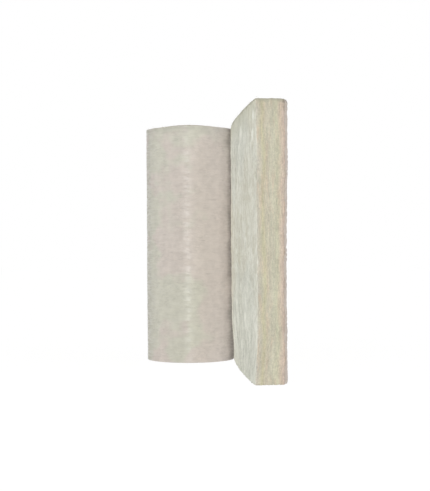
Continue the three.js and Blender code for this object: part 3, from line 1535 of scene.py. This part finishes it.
@dataclass
class Wool(BlanketPiece):
    """The mineral wool, as the wound length and the free length that meet at the nip."""

    slot: str = "wool"
    node: str = "wool_blanket"
    backing_inset: float = 0.0015
    long_edge: float = 0.005
    end_corner: float = 0.009
    edge_segments: int = 3
    corner_segments: int = 4
    depth_cells: int = 22
    wound_cells: tuple[int, ...] = (10, 50)
    wound_rows: tuple[float, ...] = (0.02, 0.06, 0.15, 0.6, 1.05, 1.14, 1.18)
    free_cells: tuple[int, ...] = (10, 20)
    free_rows: tuple[int, ...] = (10, 13)
    hidden_margin: float = 0.08
    hidden_ratio: float = 0.57
    foot_clear: float = 0.018
    level_from: float = 0.5

    @property
    def faced_depth(self) -> float:
        """Depth of the wool's faced side, a little below the facing."""
        return self.blanket.free_wool - self.backing_inset

    def slab(self, name: str, start: float, end: float) -> Piece:
        """A soft-edged slab that is open at the nip, where the other slab meets it.

        Args:
            name: the piece's name.
            start: run of its one end.
            end: run of its other end.

        Returns:
            The flat slab.
        """
        joint = self.blanket.wound_length
        piece = add_slab(name, (start, 0.0, 0.0), (end, self.faced_depth, self.blanket.width))
        upright = edges_along(piece, Axis.ACROSS) & ~edges_at(piece, joint)
        round_edges(piece, upright, self.end_corner, self.corner_segments)
        level = level_edges(piece) & ~edges_at(piece, joint)
        round_edges(piece, level, self.long_edge, self.edge_segments)
        open_end(piece, joint)
        return piece

    def finish(self, piece: Piece) -> Piece:
        """Roughens the flat slab, notes its places, winds it and dresses it.

        Args:
            piece: the flat slab, cut into cells.

        Returns:
            The same piece.
        """
        relieve(piece, self.relief)
        note_laid_places(piece)
        self.note_sides(piece)
        self.wind_up(piece)
        close_openings(piece)
        self.thin_out_backing(piece)
        return self.dress(piece)

    def note_sides(self, piece: Piece) -> None:
        """Keeps how far each place faces the bare side or an end, and whether air reaches it.

        Args:
            piece: the flat slab.
        """
        normals = np.array([vertex.normal for vertex in piece.data.vertices])
        rows = places(piece)
        bare = np.clip(-normals[:, 1], 0, 1)
        cut = 1 - np.abs(normals[:, 1])
        free = rows[:, 0] > self.blanket.wound_length + self.blanket.nip_radius / 2
        level = np.abs(normals[:, 2])
        open_air = np.where(free, np.maximum(bare, cut), cut * (level > self.level_from))
        note(piece, "bare", bare)
        note(piece, "level", level)
        note(piece, "open_air", open_air * (rows[:, 2] > self.foot_clear))

    def wound(self) -> Piece:
        """The wound length, with its bore, from the inner end to the nip.

        Returns:
            The piece.
        """
        piece = self.slab("wound_wool", 0.0, self.blanket.wound_length)
        cut_rows(piece, self.wound_rows)
        divide(piece, Axis.DEPTH, self.depth_cells)
        divide(piece, Axis.ALONG, *self.wound_cells)
        return self.finish(piece)

    def free(self) -> Piece:
        """The free length, from the nip to the cut end.

        Returns:
            The piece.
        """
        piece = self.slab("free_wool", self.blanket.wound_length, self.blanket.cut_end)
        divide(piece, Axis.DEPTH, self.depth_cells)
        divide(piece, Axis.ACROSS, *self.free_rows)
        divide(piece, Axis.ALONG, *self.free_cells)
        self.note_backing(piece)
        return self.finish(piece)

    def note_backing(self, piece: Piece) -> None:
        """Groups the cells that the facing covers.

        Args:
            piece: the flat slab.
        """
        run, depth, height = places(piece).T
        margin = self.hidden_margin
        hidden = depth > self.faced_depth - HAIR
        hidden &= (height > margin) & (height < self.blanket.width - margin)
        hidden &= run > self.blanket.wound_length + margin
        hidden &= run < self.blanket.cut_end - margin
        group = piece.vertex_groups.new(name="backing")
        group.add(np.flatnonzero(hidden).tolist(), 1.0, "REPLACE")

    def thin_out_backing(self, piece: Piece) -> None:
        """Thins out the cells that the facing covers, where there are any.

        Args:
            piece: the wound piece.
        """
        if not piece.vertex_groups:
            return
        thinning = piece.modifiers.new("thinning", "DECIMATE")
        thinning.ratio = self.hidden_ratio
        thinning.vertex_group = piece.vertex_groups[0].name
        apply_modifiers(piece)
        piece.vertex_groups.clear()


@dataclass(frozen=True)
class Wander:
    """A hand-cut line's wandering, as a few sine waves that don't repeat together."""

    reach: float
    waves: tuple[Triple, ...]

    def at(self, along: Array) -> Array:
        """How far the line wanders at each place along it."""
        total = sum(height * np.sin(along * rate + start) for height, rate, start in self.waves)
        return total / sum(height for height, _, _ in self.waves) * self.reach


@dataclass
class Facing(BlanketPiece):
    """The facing: the sheet that shows, and its turns between the wool."""

    slot: str = "facing"
    node: str = "facing_sheet"
    tuck: float = -8.0
    edge_gap: float = 0.0015
    thickness: float = 0.0008
    columns: int = 118
    fold_columns: int = 14
    rows: int = 400
    fold_radius: float = 0.006
    fold_reach: float = 0.002
    fold_wander: Wander = Wander(0.0035, ((1.0, 41, 0), (0.7, 97, 1), (0.5, 213, 0)))
    turn_cells: tuple[int, ...] = (10, 50)
    end_margin: float = 0.004
    turn_drop: float = 0.0045
    turn_wander: Wander = Wander(0.0015, ((1.0, 37, 0), (0.8, 91, 2)))

    @property
    def outside(self) -> float:
        """Depth of the facing's outer side."""
        return self.blanket.free_wool + self.blanket.glue_gap + self.blanket.facing

    @property
    def corner(self) -> float:
        """Run at which the sheet starts to turn round the end's upright corner."""
        return self.blanket.cut_end - self.fold_radius

    def shown(self) -> Piece:
        """The sheet round the last turn and along the free length, to its turned-in edge.

        Returns:
            The piece.
        """
        leave_edit_mode()
        bpy.ops.mesh.primitive_grid_add(
            x_subdivisions=self.columns, y_subdivisions=self.rows, size=1.0
        )
        piece = named(bpy.context.object, "facing_outside")
        unit = places(piece) + 0.5
        put(piece, self.flat_places(unit[:, 0], unit[:, 1]))
        with edit_mode(piece):
            bpy.ops.mesh.select_all(action="SELECT")
            bpy.ops.mesh.flip_normals()
        relieve(piece, self.relief)
        note_laid_places(piece)
        wall = piece.modifiers.new("wall", "SOLIDIFY")
        wall.thickness = self.thickness
        wall.offset = -1.0
        apply_modifiers(piece)
        put(piece, self.folded(places(piece)))
        self.wind_up(piece)
        return self.dress(piece)

    def flat_places(self, along: Array, across: Array) -> Array:
        """Where the sheet's cells lie while it is flat.

        Args:
            along: share of the way from the tuck to the turned-in edge.
            across: share of the way from the lower edge to the upper one.

        Returns:
            Rows of run, depth and height.
        """
        height = self.edge_gap + across * (self.blanket.width - 2 * self.edge_gap)
        start = self.blanket.run_at(self.tuck)
        end = self.corner + self.fold_radius * math.pi / 2 + self.fold_reach
        end = end + self.fold_wander.at(height)
        fold_share = 1 - self.fold_columns / self.columns
        straight = start + along / fold_share * (self.corner - start)
        turned = self.corner + (along - fold_share) / (1 - fold_share) * (end - self.corner)
        run = np.where(along <= fold_share, straight, turned)
        return np.column_stack([run, np.full_like(run, self.outside), height])

    def folded(self, flat: Array) -> Array:
        """Turns what reaches past the cut end round the end's upright corner.

        Args:
            flat: rows of run, depth and height.

        Returns:
            The new rows.
        """
        run, depth, height = flat.T
        past = np.maximum(run - self.corner, 0.0)
        angle = np.minimum(past / self.fold_radius, math.pi / 2)
        over = np.maximum(past - self.fold_radius * math.pi / 2, 0.0)
        reach = self.fold_radius + depth - self.blanket.free_wool
        centre = self.blanket.free_wool - self.fold_radius
        run = np.where(past > 0, self.corner + reach * np.sin(angle), run)
        depth = np.where(past > 0, centre + reach * np.cos(angle) - over, depth)
        return np.column_stack([run, depth, height])

    def turns(self) -> Piece:
        """The facing between the turns, a little lower than the wool on either side.

        Returns:
            The piece.
        """
        blanket = self.blanket
        inner = blanket.free_wool + blanket.glue_gap
        low = (self.end_margin, inner, self.turn_drop)
        high = (blanket.run_at(self.tuck), inner + self.thickness, blanket.width - self.turn_drop)
        piece = add_slab("facing_turns", low, high)
        divide(piece, Axis.ALONG, *self.turn_cells)
        rows = places(piece)
        rows[:, 2] += np.sign(rows[:, 2] - blanket.width / 2) * self.turn_wander.at(rows[:, 0])
        put(piece, rows)
        note_laid_places(piece)
        self.wind_up(piece)
        return self.dress(piece)


@dataclass
class StrayFibres(BlanketPiece):
    """Loose fibres that stand off the wool wherever it is open to the air."""

    slot: str = "wool"
    node: str = "wool_blanket"
    density: float = 1250.0
    length: float = 0.014
    radius: float = 0.00022
    bend: float = 0.005
    joints: int = 3
    sides: int = 3
    size_range: Pair = (0.5, 1.3)
    tilt_range: Pair = (math.radians(52.0), math.radians(86.0))
    joint_gap: float = 0.002
    seed: int = 7

    def one_fibre(self, wiring: Wiring) -> Flow:
        """A thin bent fibre that rises from the origin.

        Args:
            wiring: the tree it is made in.

        Returns:
            Its mesh.
        """
        line = wiring.flow("GeometryNodeCurvePrimitiveLine", 0, {"End": (0.0, 0.0, self.length)})
        parted = wiring.flow("GeometryNodeResampleCurve", 0, {"Curve": line, "Count": self.joints})
        _, _, height = wiring.flow("GeometryNodeInputPosition", 0).parts()
        bent = (height / self.length) ** 2.0 * self.bend
        inputs = {"Geometry": parted, "Offset": wiring.scaled((1.0, 0.0, 0.0), bent)}
        moved = wiring.flow("GeometryNodeSetPosition", 0, inputs)
        inputs = {"Resolution": self.sides, "Radius": self.radius}
        ring = wiring.flow("GeometryNodeCurvePrimitiveCircle", 0, inputs)
        inputs = {"Curve": moved, "Profile Curve": ring, "Fill Caps": True}
        return wiring.flow("GeometryNodeCurveToMesh", 0, inputs)

    def group(self) -> NodeTree:
        """The scattering, as a group of geometry nodes that turns a piece into its fibres.

        Returns:
            The group.
        """
        group = relief_group("stray_fibres")
        noted = "GeometryNodeInputNamedAttribute"
        air = group.flow(noted, 0, {"Name": "open_air"}, data_type="FLOAT")
        laid = group.flow(noted, 0, {"Name": "laid"}, data_type="FLOAT_VECTOR")
        off_joint = abs(laid.parts()[0] - self.blanket.wound_length)
        clear = group.math("GREATER_THAN", off_joint, self.joint_gap)
        inputs = {
            "Mesh": group.given["Geometry"],
            "Density": air * self.density * clear,
            "Seed": self.seed,
        }
        spread = group.node("GeometryNodeDistributePointsOnFaces", inputs)
        lowest, highest = self.tilt_range
        inputs = {0: (lowest, 0.0, 0.0), 1: (highest, 0.0, math.tau), "Seed": self.seed + 1}
        tilt = group.flow("FunctionNodeRandomValue", 0, inputs, data_type="FLOAT_VECTOR")
        lean = group.flow("FunctionNodeEulerToRotation", 0, {0: tilt})
        inputs = {0: Flow(group, spread.outputs["Rotation"]), 1: lean}
        turned = group.flow("FunctionNodeRotateRotation", 0, inputs, rotation_space="LOCAL")
        smallest, largest = self.size_range
        inputs = {2: smallest, 3: largest, "Seed": self.seed + 2}
        size = group.flow("FunctionNodeRandomValue", 1, inputs, data_type="FLOAT")
        inputs = {
            "Points": Flow(group, spread.outputs["Points"]),
            "Instance": self.one_fibre(group),
            "Rotation": turned,
            "Scale": size,
        }
        planted = group.flow("GeometryNodeInstanceOnPoints", 0, inputs)
        return group.closed(Geometry=group.flow("GeometryNodeRealizeInstances", 0, {0: planted}))

    def grow(self, *sources: Piece) -> Piece:
        """The fibres on some pieces of wool.

        Args:
            *sources: the pieces they stand on.

        Returns:
            The piece.
        """
        leave_edit_mode()
        for source in sources:
            source.select_set(True)
        bpy.context.view_layer.objects.active = sources[0]
        bpy.ops.object.duplicate()
        bpy.ops.object.join()
        piece = named(bpy.context.object, "stray_fibres")
        relieve(piece, self.group())
        return self.dress(piece)


# ---------------------------------------------------------------- studio


def hang(name: str, data: bpy.types.ID) -> Piece:
    """A new camera or lamp in the scene.

    Args:
        name: its name.
        data: its camera or lamp data.

    Returns:
        The camera or lamp.
    """
    made = bpy.data.objects.new(name, data)
    bpy.context.collection.objects.link(made)
    return made


@dataclass(frozen=True)
class SoftLamp:
    """A wide lamp far off, given by its bearing from the camera's side and its share of light."""

    name: str
    bearing: float
    rise: float
    share: float
    spread: float = 70.0

    def build(self) -> None:
        """Hangs the lamp. It throws no shadow, as light from all round would not."""
        data = bpy.data.lights.new(self.name, "SUN")
        data.energy = self.share * math.pi
        data.angle = math.radians(self.spread)
        data.use_shadow = False
        bearing, rise = math.radians(self.bearing), math.radians(self.rise)
        towards = Vector((math.sin(bearing), -math.cos(bearing), math.tan(rise)))
        lamp = hang(self.name, data)
        lamp.rotation_euler = towards.to_track_quat("Z", "Y").to_euler()
        lamp.visible_glossy = False


@dataclass
class Studio:
    """The floor, the light and the camera."""

    blanket: Blanket
    camera_offset: Triple = (0.1205, -6.0, 0.558)
    camera_pitch: float = 0.0057
    camera_roll: float = -0.0070
    camera_reach: float = 200.0
    lens: float = 84.0
    sensor: float = 36.0
    floor_size: float = 60.0
    floor_colour: Colour = (0.8, 0.8, 0.79, 1.0)
    floor_glow: float = 1.08
    floor_glow_share: float = 0.85
    background: Colour = (1.0, 1.0, 1.0, 1.0)
    ambient: float = 0.371
    lamps: tuple[SoftLamp, ...] = (
        SoftLamp("left_lamp", -45.0, 12.0, 0.262),
        SoftLamp("front_lamp", 0.0, 12.0, 0.126),
        SoftLamp("right_lamp", 60.0, 12.0, 0.357),
        SoftLamp("back_lamp", 180.0, 20.0, 0.40, spread=24.0),
    )
    strip_offset: Triple = (-0.62, -5.0, 0.62)
    strip_size: Pair = (0.16, 2.4)
    strip_lean: float = math.radians(16.0)
    strip_power: float = 56.0

    def build(self) -> None:
        """The whole studio."""
        self.camera()
        self.floor()
        self.world()
        for lamp in self.lamps:
            lamp.build()
        self.strip()
        bpy.context.scene.view_settings.view_transform = "Standard"

    def camera(self) -> None:
        """A long lens at the middle of the roll's height."""
        data = bpy.data.cameras.new("camera")
        data.lens = self.lens
        data.sensor_width = self.sensor
        data.clip_end = self.camera_reach
        camera = hang("camera", data)
        camera.location = self.blanket.axis_place() + Vector(self.camera_offset)
        pitch = Matrix.Rotation(math.pi / 2 + self.camera_pitch, 4, "X")
        roll = Matrix.Rotation(self.camera_roll, 4, "Z")
        camera.rotation_euler = (pitch @ roll).to_euler()
        bpy.context.scene.camera = camera

    def seen(self, wiring: Wiring) -> Flow:
        """One where the surface is seen straight, mirrored or through glass, else zero.

        Args:
            wiring: the tree it is made in.

        Returns:
            One or zero.
        """
        light = wiring.node("ShaderNodeLightPath")
        kinds = ("Is Camera Ray", "Is Glossy Ray", "Is Transmission Ray")
        straight, mirrored, through = (Flow(wiring, light.outputs[kind]) for kind in kinds)
        return straight.or_more(mirrored).or_more(through)

    def floor(self) -> None:
        """A pale floor that looks white and keeps a trace of the roll's soft shade."""
        leave_edit_mode()
        bpy.ops.mesh.primitive_plane_add(size=self.floor_size)
        floor = bpy.context.object
        floor.name = "studio_floor"
        surface = Surface("pale_floor")
        matt = surface.flow("ShaderNodeBsdfDiffuse", 0, {"Color": self.floor_colour})
        glow = surface.flow("ShaderNodeEmission", 0, {"Strength": self.floor_glow})
        share = self.seen(surface) * self.floor_glow_share
        material = surface.closed("ShaderNodeMixShader", {0: share, 1: matt, 2: glow})
        floor.data.materials.append(material)

    def world(self) -> None:
        """An even world light, and a white background."""
        world = bpy.data.worlds.new("studio_world")
        bpy.context.scene.world = world
        world.use_nodes = True
        world.node_tree.nodes.clear()
        wiring = Wiring(world.node_tree)
        inputs = {0: self.seen(wiring), 2: self.ambient, 3: 1.0}
        strength = wiring.flow("ShaderNodeMix", 0, inputs)
        inputs = {"Color": self.background, "Strength": strength}
        background = wiring.flow("ShaderNodeBackground", 0, inputs)
        wiring.node("ShaderNodeOutputWorld", {"Surface": background})

    def strip(self) -> None:
        """A narrow upright lamp beside the camera, for the thin gleam down the roll."""
        data = bpy.data.lights.new("strip_lamp", "AREA")
        data.shape = "RECTANGLE"
        data.size, data.size_y = self.strip_size
        data.energy = self.strip_power
        data.use_shadow = False
        data.cycles.use_multiple_importance_sampling = False
        lamp = hang("strip_lamp", data)
        lamp.visible_camera = False
        offset = Vector(self.strip_offset)
        lamp.location = self.blanket.axis_place() + offset
        towards = Vector((-offset.x, -offset.y, 0.0)).to_track_quat("-Z", "Y")
        lean = Matrix.Rotation(self.strip_lean, 4, "Z")
        lamp.rotation_euler = (towards.to_matrix().to_4x4() @ lean).to_euler()


def main() -> None:
    """Builds the studio and the roll, and reports each piece."""
    logging.basicConfig(level=logging.INFO, format="%(message)s", stream=sys.stdout)
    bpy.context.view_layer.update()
    blanket = Blanket()
    LOG.info("wound length %.3f m", blanket.wound_length)
    Studio(blanket).build()
    rise = FacingRelief().rise_group(blanket)
    wool_material = WoolFinish().material(blanket)
    facing_material = FacingFinish().material(blanket)
    wool = Wool(blanket, wool_material, WoolRelief().group(blanket, rise))
    StrayFibres(blanket, wool_material).grow(wool.wound(), wool.free())
    facing = Facing(blanket, facing_material, FacingRelief().group(rise))
    facing.shown()
    facing.turns()


if __name__ == "__main__":
    main()
